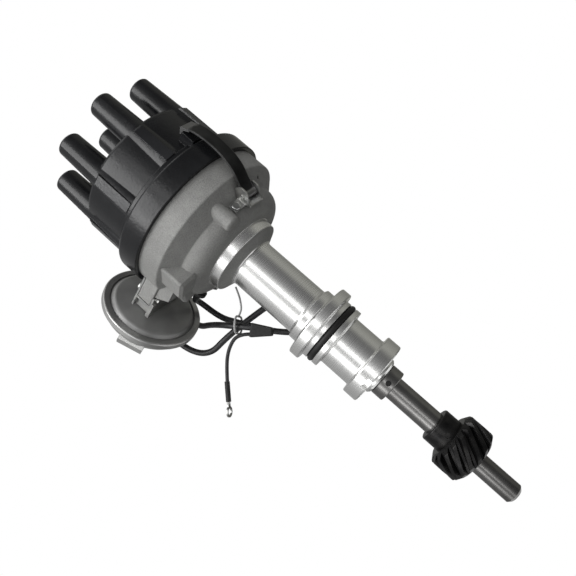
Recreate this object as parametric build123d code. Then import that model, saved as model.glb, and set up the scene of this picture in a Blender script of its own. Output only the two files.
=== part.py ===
from build123d import *
import math
import os

# Ignition distributor for an eight-cylinder engine, in millimetres.
# Z is the shaft axis, cap upwards. Z = 0 is the underside of the mounting flange.

# Clearances
run = 0.05
seat = 0.02
slack = 0.3

# Shaft and what is pinned to it
shaft_r = 6.75
tip_r = 5.93
tip_z = -137.3
tip_chamfer = 1.6
hex_af = 6.4
hex_depth = 9.0
gear_r = 16.7
gear_root_r = 13.9
gear_teeth = 16
gear_helix = 34.0
gear_z_top = -91.0
gear_face = 18.5
gear_hub_r = 10.2
gear_hub_len = 10.2
thrust_r = 9.8
thrust_len = 7.6
cross_pin_r = 1.6
base_seat_r = 5.6
spindle_r = 5.0

# Housing, from the lower pilot up to the rim
pilot_r = 19.8
pilot_z = -40.2
pilot_len = 9.3
nose_r = 11.7
nose_len = 2.9
waist_r = 15.8
land_len = 10.7
ring_groove_z = -3.2
ring_groove_w = 4.2
ring_section = 4.0
ring_proud = 0.4
flange_r = 23.7
flange_t = 6.4
collar_r = 17.3
collar_top = 12.1
tube_r = 15.3
flare_z = 57.9
neck_r = 24.9
neck_z = 61.9
bowl_z = 67.8
bowl_r = 38.8
bowl_corner = 9.8
shoulder_z = 79.3
band_r = 48.4
band_z = 87.0
rim_z = 100.6
wall = 3.5
floor_z = 71.2
boss_r = 12.5
boss_top = 72.0
ledge_z = 88.0
ledge_in_r = 42.0

# Bushes
bush_r = 8.75
bush_len = 21.0

# Centrifugal advance
base_r = 30.5
base_t = 2.0
base_z = 73.4
base_hub_r = 8.0
weight_z = 75.8
weight_t = 5.2
weight_in_r = 12.5
weight_out_r = 27.0
weight_span = 118.0
weight_swing = 12.0
pivot_ring_r = 22.0
pivot_r = 2.0
drive_pin_ring_r = 18.0
drive_pin_angle = 95.0
drive_pin_r = 1.5
yoke_z = 81.6
yoke_t = 1.6
sleeve_r = 8.2
sleeve_top = 108.0
shaft_top = 110.2

# Plates, trigger wheel and pickup
plate_t = 1.5
fixed_plate_r = 44.6
plate_collar_r = 12.0
plate_collar_len = 3.6
moving_plate_r = 36.0
moving_plate_t = 1.2
wheel_z = 94.5
wheel_t = 7.0
wheel_r = 15.5
wheel_root_r = 11.2
wheel_teeth = 8
pole_gap = 0.6
plate_screw_ring_r = 39.0
plate_screw_angle = 283.0

# Rotor arm
rotor_z = 103.2
rotor_r = 11.5
rotor_arm_z = 112.5
rotor_arm_t = 5.5
blade_t = 1.2
blade_r = 33.9

# Cap
cap_skirt_r = 51.0
cap_skirt_top = 114.3
cap_body_r = 44.2
cap_wall = 3.0
cap_ledge_z = 118.5
cap_top = 147.5
cap_core_r = 32.5
cap_core_z = 121.0
cap_roof_z = 140.0
lip_depth = 3.2
towers = 8
tower_ring_r = 37.5
tower_base_r = 9.2
tower_tip_r = 7.5
tower_tip_z = 175.2
tower_round = 1.6
tower_angle = -72.8
centre_tip_z = 180.0
socket_r = 4.6
socket_seat_r = 4.3
socket_floor = 150.0
cup_len = 8.0
cup_in_r = 3.6
terminal_r = 3.0
terminal_low_z = 114.0
brush_r = 3.0
brush_len = 12.0
brush_boss_r = 6.6
brush_boss_z = 126.0

# Spring clips
clip_angles = (-50.0, 125.0)
clip_width = 8.5
clip_t = 1.1
clip_pin_r = 1.25
clip_pin_ring_r = bowl_r + 3.9
clip_pin_z = 76.8
clip_eye_t = 1.1
clip_block_w = 11.0
clip_block_r = cap_skirt_r - 0.8
clip_block_z = 124.4
anchor_t = 1.0
anchor_ear_r = 4.2

# Vacuum canister
can_angle = 144.6
can_offset = 18.1
can_z = 92.0
can_rim_a = 65.7
can_r = 32.0
can_sheet = 1.2
dome_r = 27.5
dome_flat_r = 9.0
dome_h = 8.6
cover_r = 28.5
cover_h = 12.5
link_stroke = 4.0
link_r = 1.6
link_bar_t = 1.2
link_bar_w = 5.6
eye_r = 3.6
stud_r = 1.6
stud_clear = 0.25
port_r = 2.4
port_len = 13.0
port_root_round = 0.5
port_tip_round = 0.6
hose_bore_r = 1.3
duct_half_w = 8.2
lug_h = 10.0
lug_end_a = 48.1
lug_half_w = 17.0
arm_t = 1.2
arm_back_a = 56.0
arm_low_a = 41.8
bracket_screw_r = 1.9

# Leads
lead_d = 4.0
earth_d = 2.3
sleeve_d = 3.3
tie_d = 1.3
grommet_angle = 152.0
grommet_z = 74.8
grommet_r = 4.9
grommet_neck_r = 3.9


def at_angle(radius, degrees, z=0.0):
    """A point on a circle round the shaft axis."""
    turn = math.radians(degrees)
    return (radius * math.cos(turn), radius * math.sin(turn), z)


def turned(*corners):
    """A solid of revolution from (radius, height, fillet) corners, in order."""
    points = [(c[0], c[1]) for c in corners]
    radii = [c[2] if len(c) > 2 else 0.0 for c in corners]
    outline = FilletPolyline(*points, radius=radii, close=True)
    return revolve(Plane.XZ * make_face(outline.edges()), Axis.Z)


def ring(r_out, r_in, z_low, z_high):
    """A plain ring round the shaft axis."""
    high = z_high - z_low
    body = Pos(0, 0, z_low) * Cylinder(r_out, high, align=(Align.CENTER, Align.CENTER, Align.MIN))
    if r_in > 0:
        body -= Pos(0, 0, z_low - 1) * Cylinder(r_in, high + 2, align=(Align.CENTER, Align.CENTER, Align.MIN))
    return body


def post(radius, x, y, z_low, z_high):
    """A plain upright cylinder away from the axis."""
    base = (Align.CENTER, Align.CENTER, Align.MIN)
    return Pos(x, y, z_low) * Cylinder(radius, z_high - z_low, align=base)


def block(x_low, x_high, y_low, y_high, z_low, z_high):
    """A box from its limits."""
    size = (x_high - x_low, y_high - y_low, z_high - z_low)
    middle = ((x_low + x_high) / 2, (y_low + y_high) / 2, (z_low + z_high) / 2)
    return Pos(*middle) * Box(*size)


def single(shape):
    """The largest solid of a shape, which drops slivers left by a cut."""
    return max(shape.solids(), key=lambda s: s.volume)


def save(name, *solids):
    """Write one node."""
    shape = solids[0] if len(solids) == 1 else Compound(children=list(solids))
    export_step(shape, f"parts/{name}.step")


# Local frame of the vacuum canister: x towards its near side, y up, z outwards along the link
can_out = at_angle(1.0, can_angle)
can_side = at_angle(1.0, can_angle + 90)
can_frame = Location(
    Plane(
        origin=(can_offset * can_side[0], can_offset * can_side[1], can_z),
        x_dir=(can_side[0], can_side[1], 0),
        z_dir=(can_out[0], can_out[1], 0),
    )
)


def clip_place(index):
    """Local frame of a spring clip: x outwards, y sideways, z up."""
    return Rot(0, 0, clip_angles[index])


# Housing
def make_housing():
    bore_r = shaft_r + 0.35
    bush_seat_r = bush_r + seat
    low_seat_z = pilot_z - nose_len
    groove_floor_r = pilot_r + ring_proud - ring_section
    groove_low = ring_groove_z - ring_groove_w
    waist_z = pilot_z + pilot_len
    in_r = bowl_r - wall
    body = turned(
        (bush_seat_r, low_seat_z),
        (nose_r - 1.3, low_seat_z),
        (nose_r, low_seat_z + 1.3),
        (nose_r, pilot_z),
        (pilot_r, pilot_z, 0.9),
        (pilot_r, waist_z, 0.9),
        (waist_r, waist_z, 1.2),
        (waist_r, -land_len, 1.2),
        (pilot_r, -land_len, 0.5),
        (pilot_r, groove_low),
        (groove_floor_r, groove_low, 0.4),
        (groove_floor_r, ring_groove_z, 0.4),
        (pilot_r, ring_groove_z),
        (pilot_r, 0, 0.8),
        (flange_r, 0, 0.7),
        (flange_r, flange_t, 0.9),
        (collar_r, flange_t, 2.0),
        (collar_r, collar_top, 0.8),
        (tube_r, collar_top + 1.2, 0.8),
        (tube_r, flare_z, 3.5),
        (neck_r - 0.5, neck_z, 0.6),
        (neck_r, bowl_z),
        (bowl_r, bowl_z + 0.7, bowl_corner),
        (bowl_r, shoulder_z, 1.2),
        (band_r, band_z, 1.5),
        (band_r, rim_z),
        (band_r - wall, rim_z),
        (band_r - wall, ledge_z),
        (ledge_in_r, ledge_z),
        (ledge_in_r, ledge_z - 2.0),
        (in_r, shoulder_z + 0.6),
        (in_r, floor_z, 6.0),
        (boss_r, floor_z, 0.4),
        (boss_r, boss_top),
        (bush_seat_r, boss_top),
        (bush_seat_r, boss_top - bush_len),
        (bore_r, boss_top - bush_len),
        (bore_r, low_seat_z + bush_len),
        (bush_seat_r, low_seat_z + bush_len),
    )

    # Oil notch in the lower edge of the pilot
    notch = block(pilot_r - 3.2, pilot_r + 1, -3.3, 3.3, pilot_z - 1, pilot_z + 3.4)
    body -= Rot(0, 0, -114.9) * notch

    # Bosses for the plate screws, run down the inside and the outside of the wall
    boss_tops = []
    for side in (0, 180):
        x, y, _ = at_angle(plate_screw_ring_r, plate_screw_angle + side)
        outer = post(4.8, x, y, bowl_z + 1.3, ledge_z)
        outer = fillet(outer.faces().sort_by(Axis.Z)[0].edges(), 2.0)
        boss_tops.append(post(1.4, x, y, ledge_z - 9, ledge_z + 1))
        body += outer
    inside = turned(
        (0, floor_z), (in_r - 4.2, floor_z, 0.5), (in_r - 4.2, ledge_z - 5), (in_r - 4.2, ledge_z + 2), (0, ledge_z + 2)
    )
    body -= inside - ring(boss_r + 0.001, 0, floor_z - 1, ledge_z)
    for hole in boss_tops:
        body -= hole

    # Pad and lugs that carry the canister bracket
    pad = Rot(0, 0, 195) * block(bowl_r - 6, bowl_r + 3.9, -13.5, 14.5, 71.5, band_z + 3)
    pad = fillet(pad.edges().filter_by(Axis.Z), 1.6)
    pad = chamfer(pad.faces().sort_by(Axis.Z)[0].edges(), 1.5)
    near = block(4.5, lug_half_w, -lug_h / 2, lug_h / 2, 28, lug_end_a)
    far = block(-lug_half_w, -7.0, -lug_h / 2, lug_h / 2, 40, arm_back_a - 1.6)
    side_pad = Rot(0, 0, 207) * block(bowl_r - 6, bowl_r + 6.9, -4.0, 12.6, 70.0, band_z + 3)
    side_pad = fillet(side_pad.edges().filter_by(Axis.Z), 1.6)
    side_pad = chamfer(side_pad.faces().sort_by(Axis.Z)[0].edges(), 1.5)
    web = Polyline((-14, 26), (-4, 26), (-4, arm_low_a - 0.5), (-6, arm_low_a - 0.5), (-14, 37), close=True)
    gusset = Pos(lug_half_w - 8.5, 0, 0) * extrude(Plane.YZ * make_face(web.edges()), 7)
    lugs = can_frame * (fillet(near.edges().filter_by(Axis.Z), 0.8) + far + gusset)
    cavity = turned(
        (0, floor_z),
        (in_r + 1.5, floor_z),
        (in_r + 1.5, shoulder_z + 0.6),
        (ledge_in_r + 1.0, ledge_z - 2.0),
        (ledge_in_r + 1.0, ledge_z),
        (band_r - wall + 0.4, ledge_z),
        (band_r - wall + 0.4, rim_z),
        (0, rim_z),
    )
    body += pad - cavity
    body += side_pad - cavity
    body += lugs - cavity
    screw_hole = Rot(-90, 0, 0) * Cylinder(bracket_screw_r + 0.1, lug_h + 4)
    for x, a in bracket_screws:
        body -= can_frame * (Pos(x, 0, a) * screw_hole)

    # Slot for the link through the wall
    body -= can_frame * block(-3.6, 3.6, -3.0, 3.0, 30, 60)

    # Vent in the shoulder and the seat of the lead grommet
    x, y, z = at_angle(43.4, -26.4, 82.9)
    body -= Pos(x, y, z) * Rot(0, 0, -26.4) * Rot(0, 128, 0) * Cylinder(1.15, 16)
    hole = Rot(0, 90, 0) * Cylinder(grommet_neck_r + seat, 14)
    body -= Rot(0, 0, grommet_angle) * Pos(bowl_r, 0, grommet_z) * hole
    return single(body)


bracket_screws = ((12.7, 44.2), (-12.0, 51.8))


def make_o_ring():
    major = pilot_r + ring_proud - ring_section / 2
    z = ring_groove_z - ring_groove_w / 2
    return Pos(0, 0, z) * Torus(major, ring_section / 2 - 0.01)


def make_bushes():
    low = pilot_z - nose_len
    lower = ring(bush_r, shaft_r + run, low, low + bush_len)
    upper = ring(bush_r, shaft_r + run, boss_top - bush_len, boss_top)
    return lower, upper


# Shaft group
def make_shaft():
    gear_low = gear_z_top - gear_face
    body = turned(
        (0, tip_z),
        (tip_r - tip_chamfer, tip_z),
        (tip_r, tip_z + tip_chamfer),
        (tip_r, gear_low - 0.6),
        (shaft_r, gear_low + 0.2),
        (shaft_r, base_z),
        (base_seat_r, base_z),
        (base_seat_r, base_z + base_t),
        (spindle_r, base_z + base_t),
        (spindle_r, shaft_top - 0.5),
        (spindle_r - 0.5, shaft_top),
        (0, shaft_top),
    )
    hexagon = RegularPolygon(hex_af / 2, 6, major_radius=False)
    body -= Pos(0, 0, tip_z - 1) * extrude(hexagon, hex_depth + 1)
    body -= Pos(0, 0, tip_z - 0.01) * Cone(hex_af / 2 + 0.9, hex_af / 2 - 0.3, 1.2, align=(Align.CENTER, Align.CENTER, Align.MIN))
    for z in (thrust_pin_z, gear_pin_z):
        body -= Pos(0, 0, z) * Rot(90, 0, pin_turn) * Cylinder(cross_pin_r + seat, 40)
    return single(body)


thrust_top = pilot_z - nose_len - 0.25
thrust_pin_z = thrust_top - thrust_len / 2
gear_hub_top = gear_z_top + gear_hub_len
gear_pin_z = gear_z_top + 2.4
pin_turn = 18.0


def make_thrust_collar():
    body = turned(
        (shaft_r + seat, thrust_top - thrust_len),
        (thrust_r, thrust_top - thrust_len, 0.6),
        (thrust_r, thrust_top, 0.6),
        (shaft_r + seat, thrust_top),
    )
    body -= Pos(0, 0, thrust_pin_z) * Rot(90, 0, pin_turn) * Cylinder(cross_pin_r + seat, 40)
    return single(body)


def make_cross_pin(z, half_length):
    return Pos(0, 0, z) * Rot(90, 0, pin_turn) * Cylinder(cross_pin_r, 2 * half_length)


def make_gear():
    """Helical gear with a plain hub above it; the teeth are one lofted, twisted profile."""
    pitch = 360 / gear_teeth
    tooth_root = 0.36 * pitch
    tooth_tip = 0.17 * pitch
    twist = math.degrees(gear_face * math.tan(math.radians(gear_helix)) / gear_r)
    sections = 9
    slices = []
    for step in range(sections):
        share = step / (sections - 1)
        turn = twist * share
        points = []
        for tooth in range(gear_teeth):
            middle = turn + tooth * pitch
            for radius, half in (
                (gear_root_r, -tooth_root),
                (gear_r + 0.4, -tooth_tip),
                (gear_r + 0.4, tooth_tip),
                (gear_root_r, tooth_root),
            ):
                points.append(at_angle(radius, middle + half)[:2])
        level = gear_z_top - gear_face + gear_face * share
        slices.append(Pos(0, 0, level) * make_face(Polyline(*points, close=True).edges()))
    teeth = loft(slices, ruled=True)
    low = gear_z_top - gear_face
    envelope = turned(
        (0, low),
        (gear_root_r - 0.6, low),
        (gear_r, low + 2.2, 0.8),
        (gear_r, gear_z_top - 2.4, 0.8),
        (gear_root_r - 0.8, gear_z_top),
        (0, gear_z_top),
    )
    body = teeth & envelope
    hub = turned((0, gear_z_top - 0.5), (gear_hub_r, gear_z_top - 0.5), (gear_hub_r, gear_hub_top, 1.0), (0, gear_hub_top))
    body += hub
    body -= Pos(0, 0, low - 1) * Cylinder(shaft_r + seat, 60, align=(Align.CENTER, Align.CENTER, Align.MIN))
    body -= Pos(0, 0, gear_pin_z) * Rot(90, 0, pin_turn) * Cylinder(cross_pin_r + seat, 40)
    return single(body)


# Centrifugal advance
def make_base_plate():
    body = ring(base_r, base_seat_r + seat, base_z, base_z + base_t)
    hub_r = spindle_r + seat
    body += ring(base_hub_r, hub_r, base_z + base_t, yoke_z - run)
    body -= ring(hub_r, 0, base_z + base_t, yoke_z)
    for side in (0, 180):
        x, y, _ = at_angle(pivot_ring_r, side)
        body -= post(pivot_r + seat, x, y, base_z - 1, base_z + base_t + 1)
        body -= Rot(0, 0, side + 55) * Pos(20, 0, base_z - 1) * Rot(0, 0, 90) * extrude(SlotOverall(20, 9), base_t + 2)
    return single(body)


def make_weight_posts():
    posts = []
    for side in (0, 180):
        x, y, _ = at_angle(pivot_ring_r, side)
        posts.append(post(pivot_r, x, y, base_z, 86.4))
    return posts


def make_weight(side):
    """One bob weight with its pivot hole and drive pin; it swings outwards about its post."""
    outline = (
        Sketch()
        + Circle(weight_out_r)
        - Circle(weight_in_r)
    )
    reach = 3 * weight_out_r
    start = 13.0
    end = -weight_span
    middle = (start + end) / 2
    wedge = make_face(
        Polyline(
            (0, 0),
            at_angle(reach, start)[:2],
            at_angle(reach, middle)[:2],
            at_angle(reach, end)[:2],
            close=True,
        ).edges()
    )
    outline &= wedge
    outline = fillet(outline.vertices(), 2.5)
    body = Pos(0, 0, weight_z) * extrude(outline, weight_t)
    x, y, _ = at_angle(pivot_ring_r, 0)
    body -= post(pivot_r + run, x, y, weight_z - 1, weight_z + weight_t + 1)
    x, y, _ = at_angle(drive_pin_ring_r, -drive_pin_angle)
    body += post(drive_pin_r, x, y, weight_z + weight_t - 0.5, yoke_z + yoke_t + 0.8)
    return Rot(0, 0, side) * single(body)


def make_sleeve():
    """Upper sleeve with the slotted yoke that the weights turn."""
    tube = ring(sleeve_r, spindle_r + run, yoke_z, sleeve_top)
    yoke = Rot(0, 0, 90 - drive_pin_angle + 90) * extrude(SlotOverall(58, 19), yoke_t)
    body = tube + Pos(0, 0, yoke_z) * yoke
    body -= ring(spindle_r + run, 0, yoke_z - 1, sleeve_top + 1)
    for side in (0, 180):
        slot = Rot(0, 0, side - drive_pin_angle) * Pos(19.7, 0, yoke_z - 1) * extrude(
            SlotOverall(12.0, 2 * (drive_pin_r + slack)), yoke_t + 2
        )
        body -= slot
        x, y, _ = at_angle(25.2, side - drive_pin_angle - 3)
        body += post(1.2, x, y, yoke_z + yoke_t - 0.2, 86.2)
    return single(body)


def make_advance_springs():
    """Two light tension springs between the weight posts and the yoke posts."""
    springs = []
    for side in (0, 180):
        x1, y1, _ = at_angle(pivot_ring_r, side)
        x2, y2, _ = at_angle(25.2, side - drive_pin_angle - 3)
        start = Vector(x1, y1, 85.2)
        end = Vector(x2, y2, 85.2)
        way = (end - start).normalized()
        length = (end - start).length
        outer = Cylinder(1.5, length - 9.0)
        inner = Cylinder(1.0, length - 8.0)
        coil = outer - inner
        grooves = 7
        for turn in range(grooves):
            level = (turn - (grooves - 1) / 2) * (length - 12.0) / (grooves - 1)
            coil -= Pos(0, 0, level) * (Cylinder(1.6, 0.8) - Cylinder(1.25, 0.8))
        middle = (start + end) * 0.5
        body = Plane(origin=middle, z_dir=way).location * coil
        for point, reach in ((start, pivot_r), (end, 1.2)):
            eye = Pos(point.X, point.Y, point.Z) * (Cylinder(reach + 0.85, 0.7) - Cylinder(reach + 0.1, 1.0))
            body += eye
        for point, sign, reach in ((start, 1, pivot_r), (end, -1, 1.2)):
            near = point + way * (sign * (reach + 0.4))
            far = point + way * (sign * 5.0)
            gap = (far - near).length
            bar = Plane(origin=(near + far) * 0.5, z_dir=way).location * (Pos(0, 0, 0) * Box(2.2, 0.7, gap))
            body += Plane(origin=(near + far) * 0.5, x_dir=(way.Y, -way.X, 0), z_dir=way).location * Box(2.2, 0.7, gap)
        springs.append(single(body))
    return springs


def make_sleeve_retainer():
    return ring(spindle_r + 1.8, spindle_r + seat, sleeve_top + run, sleeve_top + 1.0)


# Plates, trigger wheel and pickup
def make_fixed_plate():
    body = ring(fixed_plate_r, plate_collar_r - 2.0, ledge_z, ledge_z + plate_t)
    body += ring(plate_collar_r, plate_collar_r - 2.0, ledge_z, ledge_z + plate_collar_len)
    for side in (0, 180):
        x, y, _ = at_angle(plate_screw_ring_r, plate_screw_angle + side)
        body -= post(1.7, x, y, ledge_z - 1, ledge_z + plate_t + 1)
        body -= Rot(0, 0, plate_screw_angle + 90 + side) * Pos(27, 0, ledge_z - 1) * Rot(0, 0, 90) * extrude(
            SlotOverall(26, 8), plate_t + 2
        )
    return single(body)


def make_plate_screws():
    screws = []
    for side in (0, 180):
        x, y, _ = at_angle(plate_screw_ring_r, plate_screw_angle + side)
        shank = post(1.3, x, y, ledge_z - 8, ledge_z + plate_t + 0.1)
        head = post(2.6, x, y, ledge_z + plate_t, ledge_z + plate_t + 1.9)
        head = fillet(head.faces().sort_by(Axis.Z)[-1].edges(), 0.7)
        head -= Pos(x, y, ledge_z + plate_t + 1.9) * Box(6, 0.7, 1.2)
        screws.append(single(shank + head))
    return screws


moving_z = ledge_z + plate_t + slack
stud_angle = can_angle + 90 + math.degrees(link_stroke / 2 / can_offset)
module_angle = stud_angle + 180


def make_moving_plate():
    body = ring(moving_plate_r, plate_collar_r + run, moving_z, moving_z + moving_plate_t)
    for side in (-1, 1):
        x, y, _ = at_angle(plate_screw_ring_r, plate_screw_angle + 90 * (1 - side))
        body -= post(6.5, x, y, moving_z - 1, moving_z + 5)
    for turn in (70, -70):
        body -= Rot(0, 0, module_angle + turn) * Pos(25, 0, moving_z - 1) * Rot(0, 0, 90) * extrude(
            SlotOverall(22, 9), moving_plate_t + 2
        )
    x, y, _ = at_angle(can_offset, stud_angle)
    body += post(stud_r, x, y, moving_z, moving_z + moving_plate_t + 2.4)
    return single(body)


def make_plate_ring():
    z = ledge_z + plate_collar_len
    gap = 0.12
    body = ring(plate_collar_r + 1.4, plate_collar_r - 1.0 + seat, z, z + 0.8)
    body -= Rot(0, 0, module_angle) * block(8, 16, -2.0, 2.0, z - 1, z + 2)
    return single(body)


def make_trigger_wheel():
    """Toothed reluctor on the sleeve; its teeth pass the pole piece."""
    pitch = 360 / wheel_teeth
    body = ring(wheel_root_r, sleeve_r + seat, wheel_z, wheel_z + wheel_t)
    for tooth in range(wheel_teeth):
        vane = block(wheel_root_r - 1, wheel_r, -1.1, 1.1, wheel_z, wheel_z + wheel_t)
        body += Rot(0, 0, tooth * pitch + module_angle) * vane
    body &= ring(wheel_r, 0, wheel_z, wheel_z + wheel_t)
    body -= ring(sleeve_r + seat, 0, wheel_z - 1, wheel_z + wheel_t + 1)
    return single(body)


def make_pole_piece():
    near = wheel_r + pole_gap
    bar = block(near, 22.0, -1.6, 1.6, wheel_z + 0.6, wheel_z + wheel_t - 0.6)
    tip = ring(near + 6, near, wheel_z, wheel_z + wheel_t)
    bar = block(near - 1, 22.0, -1.6, 1.6, wheel_z + 0.6, wheel_z + wheel_t - 0.6) & tip
    back = block(22.0, 24.0, -1.6, 1.6, wheel_z + 0.6, wheel_z + wheel_t - 0.6)
    return Rot(0, 0, module_angle) * single(bar)


def make_pickup_module():
    near = wheel_r + pole_gap
    top = wheel_z + wheel_t + 0.5
    body = block(near + 3.0, 33.0, -9.5, 9.5, moving_z + moving_plate_t, top)
    body = fillet(body.edges().filter_by(Axis.Z), 2.0)
    body -= block(near + 2, 22.1 + seat, -1.6 - seat, 1.6 + seat, wheel_z + 0.6 - seat, wheel_z + wheel_t - 0.6 + seat)
    body &= ring(33.6, 0, moving_z, top)
    for side in (-1, 1):
        body -= post(1.4, 27, side * 6.2, moving_z, top + 1)
    return Rot(0, 0, module_angle) * single(body)


def make_module_screws():
    top = wheel_z + wheel_t + 0.5
    screws = []
    for side in (-1, 1):
        shank = post(1.3, 27, side * 6.2, moving_z + moving_plate_t, top + 0.1)
        head = post(2.4, 27, side * 6.2, top, top + 1.5)
        head -= Pos(27, side * 6.2, top + 1.5) * Box(6, 0.7, 1.0)
        screws.append(Rot(0, 0, module_angle) * single(shank + head))
    return screws


# Rotor arm
def make_rotor():
    body = turned(
        (sleeve_r + 0.1, rotor_z),
        (rotor_r, rotor_z, 0.5),
        (rotor_r, rotor_arm_z),
        (rotor_r + 2, rotor_arm_z + 2, 0.5),
        (rotor_r + 2, rotor_arm_z + rotor_arm_t, 0.8),
        (0, rotor_arm_z + rotor_arm_t),
        (0, shaft_top + 1.2),
        (sleeve_r + 0.1, shaft_top + 1.2),
    )
    arm = make_face(Polyline((0, -8), (28.0, -4.6), (31.5, -3.2), (31.5, 3.2), (28.0, 4.6), (0, 8), (-15, 6), (-15, -6), close=True).edges())
    solid_arm = Pos(0, 0, rotor_arm_z) * extrude(arm, rotor_arm_t)
    body += solid_arm - ring(rotor_r, 0, rotor_arm_z - 1, rotor_arm_z + rotor_arm_t + 1)
    top = rotor_arm_z + rotor_arm_t
    return Rot(0, 0, rotor_angle) * single(body)


rotor_angle = tower_angle


def make_blade():
    top = rotor_arm_z + rotor_arm_t
    blade = block(-6.0, blade_r, -2.6, 2.6, top, top + blade_t)
    blade &= ring(blade_r, 0, top - 1, top + 5)
    contact = turned((0, top + blade_t - 0.1), (3.4, top + blade_t - 0.1), (2.6, top + blade_t + 1.0, 0.4), (0, top + blade_t + 1.0))
    return Rot(0, 0, rotor_angle) * single(blade + contact)


brush_low_z = rotor_arm_z + rotor_arm_t + blade_t + 1.0
brush_travel = 1.5


# Cap
def make_cap():
    """Moulded cap: skirt, ledge, fluted body and the towers with their sockets."""
    in_r = cap_body_r - cap_wall
    lip_r = band_r - wall - slack
    body = turned(
        (in_r, rim_z - lip_depth),
        (lip_r, rim_z - lip_depth, 0.5),
        (lip_r, rim_z),
        (cap_skirt_r, rim_z, 0.4),
        (cap_skirt_r, cap_skirt_top, 1.8),
        (cap_body_r + 2.2, cap_skirt_top + 1.5, 1.0),
        (cap_body_r + 2.2, cap_ledge_z, 0.4),
        (cap_body_r, cap_ledge_z + 0.5),
        (cap_body_r, cap_top, 2.6),
        (0, cap_top),
        (0, cap_roof_z),
        (cap_core_r, cap_roof_z, 3.0),
        (cap_core_r, cap_core_z, 0.5),
        (in_r, cap_core_z, 0.5),
    )
    base = (Align.CENTER, Align.CENTER, Align.MIN)
    high = tower_tip_z - cap_ledge_z
    column = Pos(0, 0, cap_ledge_z) * Cone(tower_base_r, tower_tip_r, high, align=base)
    column = fillet(column.faces().sort_by(Axis.Z)[-1].edges(), tower_round)
    flute = block(0, tower_base_r + 0.15, -3.1, 3.1, cap_ledge_z, cap_top - 3.0)
    flute = chamfer(flute.faces().sort_by(Axis.X)[-1].edges().sort_by(Axis.Z)[-1], 1.2)
    for index in range(towers):
        angle = tower_angle + index * 360 / towers
        place = Rot(0, 0, angle) * Pos(tower_ring_r, 0, 0)
        body += place * column
        body += place * flute
    centre_high = centre_tip_z - cap_top + 1
    centre = Pos(0, 0, cap_top - 1) * Cone(tower_base_r, tower_tip_r + 0.3, centre_high, align=base)
    body += fillet(centre.faces().sort_by(Axis.Z)[-1].edges(), tower_round)
    body += ring(brush_boss_r, 0, brush_boss_z, cap_roof_z + 1)

    # Blocks that the spring clips hook over
    fall = clip_fall()
    for index in range(2):
        face = Polyline(
            (cap_body_r - 2, cap_ledge_z - 3),
            (clip_block_r, cap_ledge_z - 3),
            (clip_block_r, clip_block_z),
            (cap_body_r - 2, clip_block_z + fall * (clip_block_r - cap_body_r + 2)),
            close=True,
        )
        clip_block = extrude(Plane.XZ * make_face(face.edges()), clip_block_w / 2, both=True)
        body += clip_place(index) * clip_block

    # Sockets, terminal holes and the brush bore
    for index in range(towers):
        x, y, _ = at_angle(tower_ring_r, tower_angle + index * 360 / towers)
        body -= post(socket_seat_r, x, y, socket_floor, tower_tip_z + 1)
        body -= post(socket_r, x, y, socket_floor + cup_len, tower_tip_z + 1)
        body -= post(terminal_r + seat, x, y, cap_core_z - 2, socket_floor + 1)
    body -= post(socket_seat_r, 0, 0, socket_floor + 2, centre_tip_z + 1)
    body -= post(socket_r, 0, 0, socket_floor + 2 + cup_len, centre_tip_z + 1)
    body -= post(brush_r + run, 0, 0, brush_boss_z - 1, socket_floor + 3)
    body -= ring(in_r, cap_core_r - 20, rim_z - lip_depth - 1, cap_core_z)
    return single(body)


def clip_fall():
    """Slope of the hooking face, square to the swing of the clip's lip."""
    return (clip_block_r - 2 - clip_pin_ring_r) / (clip_block_z - clip_pin_z)


def make_terminals():
    """Brass inserts: a stem facing the rotor and a cup in the tower's socket."""
    inserts = []
    for index in range(towers):
        x, y, _ = at_angle(tower_ring_r, tower_angle + index * 360 / towers)
        stem = post(terminal_r, 0, 0, terminal_low_z, socket_floor + 0.1)
        cup = ring(socket_seat_r - seat, 0, socket_floor, socket_floor + cup_len)
        cup -= post(cup_in_r, 0, 0, socket_floor + 1.2, socket_floor + cup_len + 1)
        inserts.append(Pos(x, y, 0) * single(stem + cup))
    return inserts


def make_centre_terminal():
    low = socket_floor + 2
    body = ring(socket_seat_r - seat, 0, low, low + cup_len)
    body -= post(cup_in_r, 0, 0, low + 1.2, low + cup_len + 1)
    return single(body)


def make_brush():
    return fillet(
        post(brush_r, 0, 0, brush_low_z, brush_low_z + brush_len).faces().sort_by(Axis.Z)[0].edges(),
        0.8,
    )


def make_brush_spring():
    """Light compression spring above the brush, as a plain coil."""
    low = brush_low_z + brush_len
    high = socket_floor + 2
    turns = 7
    wire = 0.35
    coil_r = brush_r - 0.8
    pitch = (high - low - 2 * wire) / turns
    path = Helix(pitch, turns * pitch, coil_r, center=(0, 0, low + wire))
    section = Plane(origin=path @ 0, z_dir=path % 0) * RegularPolygon(wire, 5)
    return sweep(section, path=path, is_frenet=True)


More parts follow.
